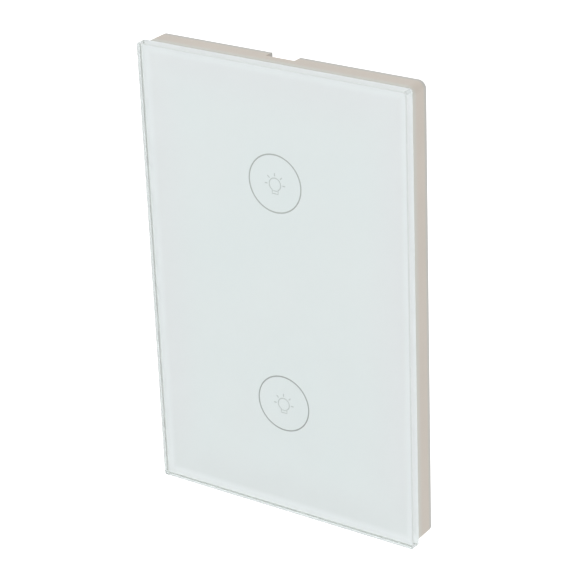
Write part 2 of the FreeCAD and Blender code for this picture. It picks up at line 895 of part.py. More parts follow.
def make_transformer():
    """Ferrite core through a taped winding on a moulded bobbin foot."""
    body = new_body("transformer")
    x, z = s.transformer_x, s.transformer_z
    foot_rear = board_rear + s.bobbin_foot
    foot = front_sketch(body, -foot_rear)
    rectangle(foot, x - s.bobbin_wide / 2, x + s.bobbin_wide / 2,
              z - s.bobbin_tall / 2, z + s.bobbin_tall / 2)
    raise_pad(body, foot, s.bobbin_foot)
    winding = front_sketch(body, -(foot_rear + s.core_deep - s.winding_margin))
    circle(winding, x, z, s.winding_width)
    raise_pad(body, winding, s.core_deep - s.winding_margin)
    core = front_sketch(body, -(foot_rear + s.core_deep))
    rectangle(core, x - s.core_wide / 2, x + s.core_wide / 2, z - s.core_tall / 2, z + s.core_tall / 2)
    raise_pad(body, core, s.core_deep)


def make_can(label, x, z, width, deep):
    """Closed round component that stands on the board."""
    drum(new_body(label), x, z, width, 0, deep)


def make_choke():
    """Drum-shaped core with its winding between two rims."""
    body = new_body("choke")
    x, z = s.choke_x, s.choke_z
    drum(body, x, z, s.choke_width, 0, s.choke_rim)
    drum(body, x, z, s.choke_waist, s.choke_rim, s.choke_deep - 2 * s.choke_rim)
    drum(body, x, z, s.choke_width, s.choke_deep - s.choke_rim, s.choke_rim)


def make_varistor():
    """Coated disc that stands on two short legs."""
    body = new_body("varistor")
    middle = board_rear + s.varistor_leg + s.varistor_width / 2
    disc = new_sketch(body, "XY_Plane", s.varistor_z)
    circle(disc, s.varistor_x, middle, s.varistor_width)
    raise_pad(body, disc, s.varistor_thick, both_ways=True)
    legs = new_sketch(body, "XY_Plane", s.varistor_z)
    half = s.varistor_width / 4
    for side in (-1, 1):
        inner = s.varistor_x + side * half - s.varistor_leg / 4
        rectangle(legs, inner, inner + s.varistor_leg / 2, board_rear, middle)
    raise_pad(body, legs, s.varistor_leg / 2, both_ways=True)


def make_rectifier():
    """Bridge rectifier with four flat leads."""
    body = new_body("rectifier")
    x, z = s.rectifier_x, s.rectifier_z
    rear = board_rear + s.rectifier_lead / 2 + s.rectifier_thick
    case = front_sketch(body, -rear)
    rectangle(case, x - s.rectifier_wide / 2, x + s.rectifier_wide / 2,
              z - s.rectifier_tall / 2, z + s.rectifier_tall / 2)
    raise_pad(body, case, s.rectifier_thick)
    leads = front_sketch(body, -(board_rear + s.rectifier_lead))
    start = x - s.rectifier_pitch / 2
    reach = s.rectifier_tall / 2 + s.rectifier_lead
    rectangle(leads, start - s.rectifier_lead / 2, start + s.rectifier_lead / 2, z - reach, z + reach)
    lead = raise_pad(body, leads, s.rectifier_lead)
    row(body, [lead], "X_Axis", s.rectifier_pitch, 2)


def make_components():
    """Closed electrical components, soldered to the rear side of the power board."""
    make_relay("relay_left", -s.relay_across)
    make_relay("relay_right", s.relay_across)
    make_transformer()
    make_can("bulk_capacitor", s.bulk_x, s.bulk_z, s.bulk_width, s.bulk_deep)
    make_can("output_capacitor", s.output_x, s.output_z, s.output_width, s.output_deep)
    slab("line_capacitor", s.line_x - s.line_wide / 2, s.line_x + s.line_wide / 2,
         s.line_z - s.line_tall / 2, s.line_z + s.line_tall / 2,
         -(board_rear + s.line_deep), -board_rear)
    make_varistor()
    make_can("fuse", s.fuse_x, s.fuse_z, s.fuse_width, s.fuse_deep)
    make_choke()
    make_rectifier()


# Terminals

def make_terminal_block():
    """Moulded block with a pocket for each rising cage."""
    body = new_body("terminal_block")
    half = mouth_width / 2 - s.block_gap
    low = -mouth_height / 2 + s.block_gap
    sketch = front_sketch(body, -box_floor)
    rectangle(sketch, -half, half, low, s.block_top)
    block = raise_pad(body, sketch, box_floor - s.block_front)
    dress(body, "Fillet", block, lambda edge: runs_along(edge, "Y") and near(edge.CenterOfMass.z, low),
          s.box_corner - s.box_wall)

    pocket_sketch = front_sketch(body, -s.pocket_front)
    half_pocket = s.pocket_wide / 2
    rectangle(pocket_sketch, first_terminal - half_pocket, first_terminal + half_pocket,
              low - s.block_gap, s.pocket_top)
    pocket = cut_pocket(body, pocket_sketch, s.pocket_deep)
    hole_sketch = front_sketch(body, -pocket_rear)
    square_at(hole_sketch, first_terminal, s.terminal_height, s.clamp_screw_way)
    hole = cut_pocket(body, hole_sketch, box_floor - pocket_rear)
    head_sketch = front_sketch(body, -head_floor)
    square_at(head_sketch, first_terminal, s.terminal_height, s.clamp_head_way)
    head = cut_pocket(body, head_sketch, box_floor - head_floor)
    bar_sketch = front_sketch(body, -(wire_high - s.bar_gap))
    half_bar = s.bar_wide / 2 + s.bar_gap
    rectangle(bar_sketch, first_terminal - half_bar, first_terminal + half_bar,
              s.pocket_top, s.block_top + s.block_gap)
    bar = cut_pocket(body, bar_sketch, s.bar_thick + 2 * s.bar_gap)
    row(body, [pocket, hole, head, bar], "X_Axis", s.terminal_pitch, s.terminal_count)


def make_terminals():
    """Contact tab, clamp screw and rising cage of each terminal."""
    for index in range(int(SIZES["terminal_count"])):
        x = first_terminal + s.terminal_pitch * index
        make_contact_tab(f"contact_tab_{index + 1}", x)
        make_clamp_screw(f"terminal_screw_{index + 1}", x)
        make_clamp_cage(f"clamp_cage_{index + 1}", x)


def make_contact_tab(label, x):
    """L-shaped brass tab from the power board into the cage."""
    body = new_body(label)
    profile = new_sketch(body, "YZ_Plane", x)
    leg_high = s.bar_leg + s.bar_leg_thick
    outline(profile, [
        (wire_high, s.bar_end),
        (bar_rear, s.bar_end),
        (bar_rear, leg_high),
        (board_rear, leg_high),
        (board_rear, s.bar_leg),
        (wire_high, s.bar_leg),
    ])
    raise_pad(body, profile, s.bar_wide, both_ways=True)


def make_clamp_screw(label, x):
    """Captive slotted screw, head towards the rear wall."""
    body = new_body(label)
    tip = bar_rear + s.clamp_tip_gap
    shank = front_sketch(body, -head_floor)
    circle(shank, x, s.terminal_height, s.clamp_screw)
    raise_pad(body, shank, head_floor - tip)
    head = front_sketch(body, -(head_floor + s.clamp_screw_head_tall))
    circle(head, x, s.terminal_height, s.clamp_screw_head)
    raise_pad(body, head, s.clamp_screw_head_tall)
    slot = front_sketch(body, -(head_floor + s.clamp_screw_head_tall - s.clamp_slot_deep))
    half_long = s.clamp_screw_head / 2
    half_wide = s.clamp_slot_wide / 2
    rectangle(slot, x - half_long, x + half_long, s.terminal_height - half_wide,
              s.terminal_height + half_wide)
    cut_pocket(body, slot, s.clamp_slot_deep)


def make_clamp_cage(label, x):
    """Folded cage around the contact bar, threaded on its screw."""
    body = new_body(label)
    top_low = bar_rear + s.bar_lift
    half = s.cage_wide / 2
    outer = new_sketch(body, "XY_Plane", s.terminal_height)
    rectangle(outer, x - half, x + half, cage_front, top_low + s.cage_head)
    block = raise_pad(body, outer, s.cage_long, both_ways=True)
    dress(body, "Chamfer", block, lambda edge: runs_along(edge, "Z"), s.cage_bevel)
    inner = new_sketch(body, "XY_Plane", s.terminal_height)
    rectangle(inner, x - half + s.cage_side, x + half - s.cage_side, wire_low, top_low)
    cut_pocket(body, inner, s.cage_long, both_ways=True)
    thread = front_sketch(body, -top_low)
    circle(thread, x, s.terminal_height, s.clamp_screw + 2 * s.cage_bore_gap)
    cut_pocket(body, thread, s.cage_head)


def write_parts():
    """Check every object, then write each sub-part as a STEP file."""
    doc.recompute()
    for thing in doc.Objects:
        if "Invalid" in thing.State or "Error" in thing.State:
            raise RuntimeError(f"{thing.Label} failed: {thing.State}")
    for subpart in SUBPARTS:
        shape = subpart.Shape
        if shape.isNull() or not shape.isValid():
            raise RuntimeError(subpart.Label + " has no valid shape")
    os.makedirs("parts", exist_ok=True)
    for subpart in SUBPARTS:
        subpart.Shape.exportStep(os.path.join("parts", subpart.Label + ".step"))
        print(subpart.Label, len(subpart.Shape.Solids), round(subpart.Shape.Volume, 2))


make_glass_panel()
make_bonding_gasket()
make_front_frame()
make_base_housing()
make_inner_cover()
make_cover_screws()
make_touch_board()
make_touch_spring("touch_spring_upper", touch_height)
make_touch_spring("touch_spring_lower", -touch_height)
make_led("led_upper", touch_height)
make_led("led_lower", -touch_height)
make_touch_chip()
make_radio_module()
make_header()
make_power_board()
make_components()
make_terminal_block()
make_terminals()
write_parts()
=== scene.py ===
"""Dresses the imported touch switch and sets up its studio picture.

Lengths are in metres in the row frame: the front looks along -Y and +Z is up. Sizes that are
easier to read in millimetres are multiplied by MM, and the functions whose text says so take
millimetres.
"""

import math

import bmesh
import bpy
from mathutils import Matrix, Vector


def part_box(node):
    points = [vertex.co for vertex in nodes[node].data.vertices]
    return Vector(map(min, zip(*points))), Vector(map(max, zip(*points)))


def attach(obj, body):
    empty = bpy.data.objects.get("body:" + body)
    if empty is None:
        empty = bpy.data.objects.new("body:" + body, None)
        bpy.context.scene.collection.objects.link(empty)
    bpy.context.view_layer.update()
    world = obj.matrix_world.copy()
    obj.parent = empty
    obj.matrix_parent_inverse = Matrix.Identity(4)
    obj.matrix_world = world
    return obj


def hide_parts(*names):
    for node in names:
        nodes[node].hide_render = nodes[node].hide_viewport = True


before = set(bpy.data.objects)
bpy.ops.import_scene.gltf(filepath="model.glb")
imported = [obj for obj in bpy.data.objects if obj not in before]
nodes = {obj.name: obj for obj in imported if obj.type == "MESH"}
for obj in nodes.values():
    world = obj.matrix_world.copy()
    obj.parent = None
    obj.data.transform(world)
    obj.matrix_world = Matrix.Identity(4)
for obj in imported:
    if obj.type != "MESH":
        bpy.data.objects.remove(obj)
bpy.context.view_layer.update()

MM = 0.001
GLASS_LOW, GLASS_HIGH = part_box("glass_panel")
GLASS_BACK = GLASS_HIGH.y
TOUCH_HEIGHT = 29.75 * MM


def middle_of(name):
    """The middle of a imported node's box, in millimetres."""
    low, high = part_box(name)
    return (low + high) / 2 / MM


def front_of(name):
    """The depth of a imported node's front, in millimetres."""
    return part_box(name)[0].y / MM


def linear(red, green, blue):
    """A colour from sRGB bytes, as the linear values that shaders take."""
    parts = []
    for byte in (red, green, blue):
        value = byte / 255
        parts.append(value / 12.92 if value <= 0.04045 else ((value + 0.055) / 1.055) ** 2.4)
    return (*parts, 1.0)


def scaled(colour, factor):
    """A colour made darker or lighter."""
    return (*(min(1.0, part * factor) for part in colour[:3]), 1.0)


# Shader building

# How far a moulding's colour drifts, as a share of it, and how far its roughness does
COLOUR_DRIFT = 0.025
GLOSS_DRIFT = 0.06


def new_shader(name):
    """A material with an empty Principled shader, and its node tree."""
    material = bpy.data.materials.new(name)
    material.use_nodes = True
    tree = material.node_tree
    return material, tree, tree.nodes["Principled BSDF"]


def put(tree, kind, settings=None, **inputs):
    """A new node with its settings and its input values or links.

    An input goes by its name, with _ for a space, or by its number, as _0 or _1.
    """
    node = tree.nodes.new(kind)
    for key, value in (settings or {}).items():
        setattr(node, key, value)
    for key, value in inputs.items():
        socket = node.inputs[int(key[1:]) if key[0] == "_" else key.replace("_", " ")]
        if isinstance(value, bpy.types.NodeSocket):
            tree.links.new(value, socket)
        else:
            socket.default_value = value
    return node


def place(tree):
    """Object coordinates, which are the row frame's here."""
    return put(tree, "ShaderNodeTexCoord").outputs["Object"]


def noise(tree, scale, detail=2.0, stretch=None, rough=0.5):
    """Noise in the row frame, with its scale in waves per metre."""
    where = place(tree)
    if stretch is not None:
        where = put(tree, "ShaderNodeMapping", Vector=where, Scale=stretch).outputs["Vector"]
    return put(tree, "ShaderNodeTexNoise", Vector=where, Scale=scale, Detail=detail,
               Roughness=rough).outputs["Fac"]


def calc(tree, operation, first, second=0.0):
    """One step of arithmetic."""
    return put(tree, "ShaderNodeMath", {"operation": operation}, _0=first, _1=second).outputs[0]


def spread(tree, value, low, high, new_low, new_high, curve="LINEAR"):
    """A value moved from one range to another."""
    settings = {"interpolation_type": curve}
    return put(tree, "ShaderNodeMapRange", settings, Value=value, _1=low, _2=high,
               _3=new_low, _4=new_high).outputs[0]


def between(tree, share, first, second):
    """A blend of two colours, by the mix node's sockets that carry colour."""
    node = put(tree, "ShaderNodeMix", {"data_type": "RGBA"}, _0=share, _6=first, _7=second)
    return node.outputs[2]


def relief(tree, shader, height, depth):
    """Bump from a height, added to the bump that the shader already has.

    Depth is how far a height of 1 would stand out.
    """
    bump = put(tree, "ShaderNodeBump", Height=height, Distance=depth)
    for link in shader.inputs["Normal"].links:
        tree.links.new(link.from_socket, bump.inputs["Normal"])
    tree.links.new(bump.outputs["Normal"], shader.inputs["Normal"])


def along(tree, axis):
    """A point's coordinate in the row frame."""
    return put(tree, "ShaderNodeSeparateXYZ", Vector=place(tree)).outputs[axis]


def apart(tree, value, middle):
    """How far a coordinate is from a middle, given in millimetres."""
    return calc(tree, "ABSOLUTE", calc(tree, "SUBTRACT", value, middle * MM))


def from_noise(tree, value, low=0.0, high=1.0):
    """Noise, most of which lies between 0.3 and 0.7, spread over another range."""
    return spread(tree, value, 0.3, 0.7, low, high)


def drifting(tree, scale, first, second):
    """A colour that drifts between two, in clouds of so many waves per metre."""
    return between(tree, from_noise(tree, noise(tree, scale)), first, second)


def forward(tree):
    """How far a point stands out in front of the wall."""
    return calc(tree, "MULTIPLY", along(tree, "Y"), -1.0)


def below(tree, value, edge):
    """1 under an edge given in millimetres, and 0 above it."""
    return calc(tree, "LESS_THAN", value, edge * MM)


def above(tree, value, edge, soft=0.03):
    """0 below an edge and 1 above it, both in millimetres."""
    return spread(tree, value, (edge - soft) * MM, (edge + soft) * MM, 0.0, 1.0)


def ripple(tree, axis, rate):
    """A sine wave along an axis, with its rate in radians per metre."""
    return calc(tree, "SINE", calc(tree, "MULTIPLY", along(tree, axis), rate))


def far_from(tree, x, z, middle):
    """Distance from the nearest of four points, mirrored about X = 0 and Z = middle."""
    across = calc(tree, "POWER", apart(tree, apart(tree, along(tree, "X"), 0), x), 2.0)
    upward = calc(tree, "POWER", apart(tree, apart(tree, along(tree, "Z"), middle), z), 2.0)
    return calc(tree, "SQRT", calc(tree, "ADD", across, upward))


def add_zone(material, share, colour, roughness=0.35, metallic=None):
    """Give a material another finish where share is 1."""
    tree = material.node_tree
    shader = tree.nodes["Principled BSDF"]
    base, gloss = shader.inputs["Base Color"], shader.inputs["Roughness"]
    tree.links.new(between(tree, share, base.links[0].from_socket, colour), base)
    rest = calc(tree, "MULTIPLY", gloss.links[0].from_socket, calc(tree, "SUBTRACT", 1.0, share))
    tree.links.new(calc(tree, "ADD", rest, calc(tree, "MULTIPLY", share, roughness)), gloss)
    if metallic:
        tree.links.new(calc(tree, "MULTIPLY", share, metallic), shader.inputs["Metallic"])
    return material


def moulded(name, colour, roughness, grain=0.3 * MM, depth=0.006 * MM):
    """Moulded plastic: fine spark grain, slight drift of colour and of gloss."""
    material, tree, shader = new_shader(name)
    cloud = from_noise(tree, noise(tree, 70, 3))
    tree.links.new(between(tree, cloud, scaled(colour, 1 - COLOUR_DRIFT),
                           scaled(colour, 1 + COLOUR_DRIFT)), shader.inputs["Base Color"])
    fine = noise(tree, 1 / grain, 3, rough=0.6)
    tree.links.new(from_noise(tree, fine, roughness - GLOSS_DRIFT, roughness + GLOSS_DRIFT),
                   shader.inputs["Roughness"])
    relief(tree, shader, fine, depth)
    return material


def metal(name, colour, roughness, stretch=(1, 1, 1), grain=0.25 * MM, depth=0.003 * MM):
    """Plated or drawn metal with fine marks along one direction."""
    material, tree, shader = new_shader(name)
    shader.inputs["Metallic"].default_value = 1.0
    cloud = from_noise(tree, noise(tree, 400, 3))
    tree.links.new(between(tree, cloud, scaled(colour, 0.88), colour), shader.inputs["Base Color"])
    marks = noise(tree, 1 / grain, 3, stretch)
    tree.links.new(from_noise(tree, marks, roughness * 0.7, roughness * 1.3),
                   shader.inputs["Roughness"])
    relief(tree, shader, marks, depth)
    return material


# Glass and its back print

ARRIS = 0.2 * MM
ARRIS_EDGE = (ARRIS + 0.004 * MM, ARRIS + 0.012 * MM)
SIDE_EDGE = (0.003 * MM, 0.008 * MM)
GLASS_CORNER = 0.7 * MM
CORNER_STARTS = (("X", GLASS_HIGH.x - GLASS_CORNER), ("Z", GLASS_HIGH.z - GLASS_CORNER))
GLASS_INDEX = 1.52
GLASS_COLOUR = (0.97, 0.988, 0.98, 1)
GLASS_SHADOW = (0.96, 0.98, 0.975, 1)
GLASS_TINT = (0.78, 0.885, 0.845, 1)
TINT_DENSITY = 17.0
ARRIS_ROUGHNESS = 0.22

# How much of the light is scattered where the glass is ground
FRONT_ARRIS_FROST = 1.0
BACK_ARRIS_FROST = 0.85
SIDE_FROST = 0.06
CORNER_FROST = 0.3

# Where the side face turns brighter towards its rear edge, a painted highlight
PAINTED_HIGHLIGHT_STRIP = (GLASS_BACK - 0.65 * MM, GLASS_BACK - 0.3 * MM)

# How far in from the edge of the glass the print's painted light and painted shade reach, and over
# what height above the bottom its painted shade grows darker
PAINTED_RIM_LIGHT_REACH = (0.4 * MM, 1.1 * MM)
PAINTED_GLOW_REACH = (1.6 * MM, 3.4 * MM)
SHADE_REACH = (2 * MM, 16 * MM)
LOW_SHADE_REACH = (GLASS_LOW.z + 2 * MM, GLASS_LOW.z + 18 * MM)


def past_corner_starts(tree):
    """How far a point lies past the start of the corner rounding, along X and along Z."""
    return [calc(tree, "SUBTRACT", calc(tree, "ABSOLUTE", along(tree, axis)), start)
            for axis, start in CORNER_STARTS]


def inside_glass(tree):
    """How far a point lies inside the rounded outline of the glass."""
    pasts = past_corner_starts(tree)
    squares = [calc(tree, "POWER", calc(tree, "MAXIMUM", past, 0.0), 2.0) for past in pasts]
    corner = calc(tree, "SQRT", calc(tree, "ADD", *squares))
    flat = calc(tree, "MINIMUM", calc(tree, "MAXIMUM", *pasts), 0.0)
    return calc(tree, "SUBTRACT", GLASS_CORNER, calc(tree, "ADD", corner, flat))


def frost_colour(tree, on_arris, at_back):
    """Colour of the ground glass: each arris, the back one greyed with painted shade, and the side
    face with its strip of painted highlight.
    """
    # Painted shade: the back arris is a dark grey frost, standing for the shaded gap seen through it.
    arris_frost_and_shade = between(tree, at_back, linear(225, 229, 228), linear(180, 186, 181))
    # Painted highlight: the side face's frost is paler along a strip near its rear edge.
    side_highlight = spread(tree, along(tree, "Y"), *PAINTED_HIGHLIGHT_STRIP, 0.0, 1.0)
    side_tone = between(tree, side_highlight, linear(208, 213, 211), linear(240, 243, 242))
    return between(tree, on_arris, side_tone, arris_frost_and_shade)


def frost_share(tree, inside, on_arris, at_back):
    """How much light the ground glass scatters: much at the arrises, little on the sides."""
    on_side = spread(tree, inside, *SIDE_EDGE, 1.0, 0.0)
    at_corner = calc(tree, "MULTIPLY", *(above(tree, past, 0) for past in past_corner_starts(tree)))
    arris_share = spread(tree, at_back, 0.0, 1.0, FRONT_ARRIS_FROST, BACK_ARRIS_FROST)
    side_share = spread(tree, at_corner, 0.0, 1.0, SIDE_FROST, CORNER_FROST)
    return calc(tree, "MAXIMUM", calc(tree, "MULTIPLY", on_arris, arris_share),
                calc(tree, "MULTIPLY", on_side, side_share))


def make_glass_material():
    """Polished tempered glass with fine-ground side faces, a frosted arris and a faint tint, the back
    arris greyed with painted shade.
    """
    material, tree, shader = new_shader("tempered_glass")
    shader.inputs["Base Color"].default_value = GLASS_COLOUR
    shader.inputs["IOR"].default_value = GLASS_INDEX
    shader.inputs["Transmission Weight"].default_value = 1.0
    depth = along(tree, "Y")
    inside = inside_glass(tree)
    to_faces = calc(tree, "MINIMUM", calc(tree, "SUBTRACT", depth, GLASS_LOW.y),
                    calc(tree, "SUBTRACT", GLASS_BACK, depth))
    on_arris = spread(tree, calc(tree, "ADD", inside, to_faces), *ARRIS_EDGE, 1.0, 0.0)
    at_back = calc(tree, "GREATER_THAN", depth, (GLASS_LOW.y + GLASS_BACK) / 2)
    tree.links.new(calc(tree, "MULTIPLY", on_arris, ARRIS_ROUGHNESS), shader.inputs["Roughness"])
    frost = put(tree, "ShaderNodeBsdfDiffuse", Color=frost_colour(tree, on_arris, at_back))
    body = put(tree, "ShaderNodeMixShader", _0=frost_share(tree, inside, on_arris, at_back),
               _1=shader.outputs["BSDF"], _2=frost.outputs["BSDF"])
    clear = put(tree, "ShaderNodeBsdfTransparent", Color=GLASS_SHADOW)
    path = put(tree, "ShaderNodeLightPath")
    mixed = put(tree, "ShaderNodeMixShader", _0=path.outputs["Is Shadow Ray"],
                _1=body.outputs[0], _2=clear.outputs["BSDF"])
    tint = put(tree, "ShaderNodeVolumeAbsorption", Color=GLASS_TINT, Density=TINT_DENSITY)
    output = tree.nodes["Material Output"]
    tree.links.new(mixed.outputs[0], output.inputs["Surface"])
    tree.links.new(tint.outputs[0], output.inputs["Volume"])
    return material


def make_print_material():
    """White enamel on the back of the glass, with painted light at its rim and in a band just inside
    it, and painted shade for a way in from its edges that is darker towards the bottom.
    """
    material, tree, shader = new_shader("back_print")
    inside = inside_glass(tree)
    # Painted light: the print is brighter at its rim and in a band just inside it.
    rim_light = spread(tree, inside, *PAINTED_RIM_LIGHT_REACH, 1.0, 0.0)
    painted_glow = spread(tree, inside, *PAINTED_GLOW_REACH, 1.0, 0.0, "SMOOTHSTEP")
    # Painted shade: the print is darker for a way in from its edges, most of all towards the bottom.
    edge_shade = spread(tree, inside, *SHADE_REACH, 1.0, 0.0, "SMOOTHSTEP")
    low = spread(tree, along(tree, "Z"), *LOW_SHADE_REACH, 1.0, 0.0)
    cloud = spread(tree, noise(tree, 45), 0.35, 0.65, 0.0, 1.0)
    plain = between(tree, cloud, linear(229, 233, 234), linear(230, 233, 234))
    shade = between(tree, low, linear(229, 230, 232), linear(224, 227, 228))
    with_painted_shade = between(tree, edge_shade, plain, shade)
    with_painted_glow = between(tree, painted_glow, with_painted_shade, linear(234, 236, 238))
    tree.links.new(between(tree, rim_light, with_painted_glow, linear(240, 242, 243)), shader.inputs["Base Color"])
    shader.inputs["Roughness"].default_value = 0.5
    return material


def build(name, shape, material, body, smooth_under):
    """Make a piece from a bmesh, give it a finish and let it ride on its body.

    Edges that turn by more than smooth_under degrees stay sharp.
    """
    bmesh.ops.recalc_face_normals(shape, faces=shape.faces)
    mesh = bpy.data.meshes.new(name)
    shape.to_mesh(mesh)
    shape.free()
    for polygon in mesh.polygons:
        polygon.use_smooth = True
    mesh.set_sharp_from_angle(angle=math.radians(smooth_under))
    piece = bpy.data.objects.new(name, mesh)
    bpy.context.scene.collection.objects.link(piece)
    mesh.materials.append(material)
    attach(piece, body)
    return piece


def rounded_outline(half_wide, half_tall, corner, steps=10):
    """Points of a rounded rectangle in the XZ plane."""
    points = []
    for quarter, (side, end) in enumerate(((1, 1), (-1, 1), (-1, -1), (1, -1))):
        for step in range(steps + 1):
            angle = math.radians(90 * (quarter + step / steps))
            points.append((side * (half_wide - corner) + corner * math.cos(angle),
                           end * (half_tall - corner) + corner * math.sin(angle)))
    return points


def prism(shape, points, front, back):
    """A plate with this outline in the XZ plane, between two depths."""
    fore = [shape.verts.new((x, front, z)) for x, z in points]
    rear = [shape.verts.new((x, back, z)) for x, z in points]
    shape.faces.new(fore)
    shape.faces.new(list(reversed(rear)))
    for index in range(len(points)):
        after = (index + 1) % len(points)
        shape.faces.new((fore[index], rear[index], rear[after], fore[after]))


def ribbon(shape, points, width, front, back, closed=False):
    """A flat stroke of even width along points in the XZ plane."""
    count = len(points)
    sides = []
    for index, here in enumerate(points):
        before = points[(index - 1) % count] if closed or index > 0 else here
        after = points[(index + 1) % count] if closed or index < count - 1 else here
        heading = (Vector(after) - Vector(before)).normalized()
        across = Vector((-heading.y, heading.x)) * width / 2
        sides.append((Vector(here) + across, Vector(here) - across))
    rails = []
    for left, right in sides:
        rails.append([shape.verts.new((point.x, depth, point.y)) for point, depth in
                      ((left, front), (right, front), (right, back), (left, back))])
    for index in range(count if closed else count - 1):
        here, there = rails[index], rails[(index + 1) % count]
        for side in range(4):
            turn = (side + 1) % 4
            shape.faces.new((here[side], here[turn], there[turn], there[side]))
    if not closed:
        shape.faces.new(rails[0])
        shape.faces.new(list(reversed(rails[-1])))


def arc(x, z, radius, start, end, steps):
    """Points along an arc in the XZ plane, angles in degrees from +X."""
    angles = [math.radians(start + (end - start) * step / steps) for step in range(steps + 1)]
    return [(x + radius * math.cos(angle), z + radius * math.sin(angle)) for angle in angles]


PRINT_INSET = ARRIS + 0.02 * MM
PRINT_CORNER = 0.5 * MM
PRINT_DEPTHS = (GLASS_BACK - 0.012 * MM, GLASS_BACK + 0.004 * MM)
INK_DEPTHS = (GLASS_BACK - 0.020 * MM, GLASS_BACK - 0.010 * MM)
INK_DRIFT_RATE = 900
RING_RADIUS = 7.5 * MM
RING_LINE = 0.34 * MM

# The bulb pictogram, with its drops taken from the middle of its round glass
BULB_RADIUS = 1.66 * MM
BULB_LINE = 0.28 * MM
BULB_BELOW_RING = 0.2 * MM
BASE_HALF = 0.85 * MM
BASE_DROP = 2.4 * MM
NECK_HALF = 0.65 * MM
NECK_DROP = 1.68 * MM
NECK_LINE = BULB_LINE * 0.8
RAY_ENDS = (2.15 * MM, 2.98 * MM)


def make_bulb(shape, middle):
    """A bulb pictogram: a round glass that runs into its base, a line across it and five rays."""
    bulb = arc(0, middle, BULB_RADIUS, -60, 240, 32)
    bulb += [(-BASE_HALF, middle - BASE_DROP), (BASE_HALF, middle - BASE_DROP)]
    ribbon(shape, bulb, BULB_LINE, *INK_DEPTHS, closed=True)
    neck = [(side * NECK_HALF, middle - NECK_DROP) for side in (-1, 1)]
    ribbon(shape, neck, NECK_LINE, *INK_DEPTHS)
    for angle in range(0, 181, 45):
        way = Vector((math.cos(math.radians(angle)), math.sin(math.radians(angle))))
        ray = [Vector((0, middle)) + way * reach for reach in RAY_ENDS]
        ribbon(shape, ray, BULB_LINE, *INK_DEPTHS)


def make_inks():
    """The grey ink of the rings, paler on the upper one, and the fainter pictogram ink."""
    ring_ink, tree, shader = new_shader("ring_ink")
    strong = drifting(tree, INK_DRIFT_RATE, linear(149, 152, 151), linear(157, 160, 159))
    weak = drifting(tree, INK_DRIFT_RATE, linear(164, 167, 165), linear(171, 174, 172))
    tree.links.new(between(tree, above(tree, along(tree, "Z"), 0), strong, weak),
                   shader.inputs["Base Color"])
    faint_ink, tree, shader = new_shader("pictogram_ink")
    tree.links.new(drifting(tree, INK_DRIFT_RATE, linear(190, 195, 195), linear(197, 202, 201)),
                   shader.inputs["Base Color"])
    return ring_ink, faint_ink


def make_print():
    """The white print, the two rings and the bulb pictograms on the back of the glass."""
    shape = bmesh.new()
    outline = rounded_outline(GLASS_HIGH.x - PRINT_INSET, GLASS_HIGH.z - PRINT_INSET, PRINT_CORNER)
    prism(shape, outline, *PRINT_DEPTHS)
    build("back_print", shape, make_print_material(), "front_panel", 20)

    ring_ink, faint_ink = make_inks()
    for name, height in (("upper", TOUCH_HEIGHT), ("lower", -TOUCH_HEIGHT)):
        shape = bmesh.new()
        circle = arc(0, height, RING_RADIUS, 0, 360, 96)[:-1]
        ribbon(shape, circle, RING_LINE, *INK_DEPTHS, closed=True)
        build("ring_" + name, shape, ring_ink, "front_panel", 60)

        shape = bmesh.new()
        make_bulb(shape, height - BULB_BELOW_RING)
        build("pictogram_" + name, shape, faint_ink, "front_panel", 60)


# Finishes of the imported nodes

def dress(material, *names):
    """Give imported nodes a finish."""
    for name in names:
        mesh = nodes[name].data
        mesh.materials.clear()
        mesh.materials.append(material)


TIN = linear(206, 207, 205)
COPPER = linear(196, 122, 72)

# How far off the wall the painted shade along the frame's rear rim ends and the painted light along
# its front rim begins, each softly
REAR_RIM_SHADE = (0.8 * MM, 2.0 * MM)
FRONT_RIM_LIGHT = (4.3 * MM, 6.3 * MM)

# Ejector marks in millimetres: across, up, the height they are mirrored about, and radius
EJECTOR_MARKS = ((17, 19, 5, 2.0), (30, 50, 0, 1.6), (30, 12, 0, 1.6), (17, 49, 0, 1.6),
                 (0, 0, 4, 0.9))
MARK_EDGE = 0.06
MARK_DEPTH = 0.06 * MM

# Waves along an axis, in radians per metre
WEAVE_RATE = 9000
STRIPE_RATE = 4200
TAPE_RATE = 2600
TURN_RATE = 14000

# Where one finish meets another on a component, in millimetres from its middle, its top or the wall
CHIP_BODY_HALF = 1.96
STRIP_FRONT = -0.6
CORE_HALF = 3.11
BOBBIN_FRONT = 6.45
STRIPE_OFFSET = 2.4
BARE_RADIUS = 2.6
BARE_DEPTH = 0.02
WINDING_HALF = 3.52
LEGS_END = 5.75


def make_ivory():
    """The frame's ivory moulding: warm on its walls, greyer with painted shade at its rear rim and
    paler with painted light at its front rim.
    """
    material = moulded("ivory_moulding", linear(208, 199, 188), 0.42)
    tree = material.node_tree
    base = tree.nodes["Principled BSDF"].inputs["Base Color"]
    wall = base.links[0].from_socket
    reach = forward(tree)
    # Painted shade greys the rear rim and painted light pales the front rim.
    rear = spread(tree, reach, *REAR_RIM_SHADE, 1.0, 0.0, "SMOOTHSTEP")
    front = spread(tree, reach, *FRONT_RIM_LIGHT, 0.0, 1.0, "SMOOTHSTEP")
    with_rim_shade = between(tree, rear, wall, linear(194, 194, 189))
    tree.links.new(between(tree, front, with_rim_shade, linear(209, 208, 200)), base)
    return material


def make_housing():
    """Off-white moulding with the faint round marks that ejector pins leave."""
    material = moulded("housing_moulding", linear(216, 213, 206), 0.45)
    tree = material.node_tree
    shader = tree.nodes["Principled BSDF"]
    for x, z, middle, radius in EJECTOR_MARKS:
        outside = above(tree, far_from(tree, x, z, middle), radius, MARK_EDGE)
        relief(tree, shader, outside, MARK_DEPTH)
    return material


